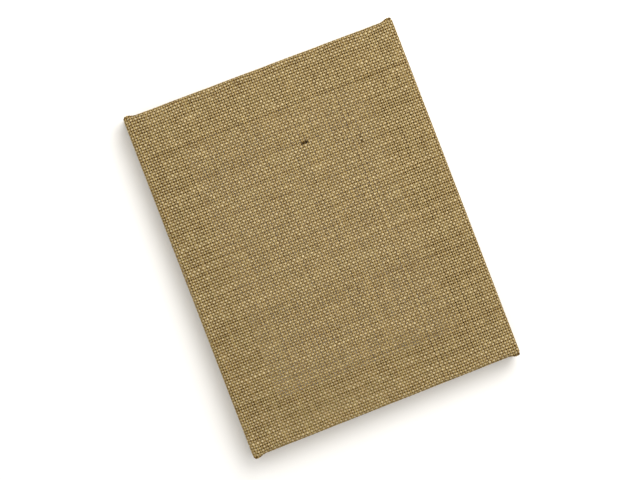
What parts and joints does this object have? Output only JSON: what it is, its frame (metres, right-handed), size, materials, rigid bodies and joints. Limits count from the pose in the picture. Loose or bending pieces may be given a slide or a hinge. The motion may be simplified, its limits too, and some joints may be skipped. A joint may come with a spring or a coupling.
{
  "type": "ring bearer pillow",
  "caption": "Flat ring bearer panel: burlap stretched over a mitred wooden frame, folded at the corners and stapled behind.",
  "frame": {"origin": "middle of the panel, on the plane that its four folded back corners rest on", "axes": "+Z out of the burlap face, +Y towards the top end along the long side, +X towards the right-hand side seen from the front"},
  "size_m": [0.2048, 0.2598, 0.021],
  "materials": {
    "burlap": "natural undyed jute burlap, plain weave, open gaps, matte",
    "pine": "planed softwood, unfinished",
    "fastener_steel": "bright corrugated strip",
    "staple_wire": "galvanised flat wire"
  },
  "bodies": {
    "root": {"burlap_cover": "burlap", "end_bar_top": "pine", "end_bar_bottom": "pine", "side_bar_left": "pine", "side_bar_right": "pine", "corner_fastener_top_right": "fastener_steel", "corner_fastener_top_left": "fastener_steel", "corner_fastener_bottom_left": "fastener_steel", "corner_fastener_bottom_right": "fastener_steel", "staple_top_1": "staple_wire", "staple_top_2": "staple_wire", "staple_top_3": "staple_wire", "staple_top_4": "staple_wire", "staple_bottom_1": "staple_wire", "staple_bottom_2": "staple_wire", "staple_bottom_3": "staple_wire", "staple_bottom_4": "staple_wire", "staple_left_1": "staple_wire", "staple_left_2": "staple_wire", "staple_left_3": "staple_wire", "staple_left_4": "staple_wire", "staple_left_5": "staple_wire", "staple_right_1": "staple_wire", "staple_right_2": "staple_wire", "staple_right_3": "staple_wire", "staple_right_4": "staple_wire", "staple_right_5": "staple_wire", "staple_corner_top_right": "staple_wire", "staple_corner_top_left": "staple_wire", "staple_corner_bottom_left": "staple_wire", "staple_corner_bottom_right": "staple_wire"}
  },
  "joints": []
}
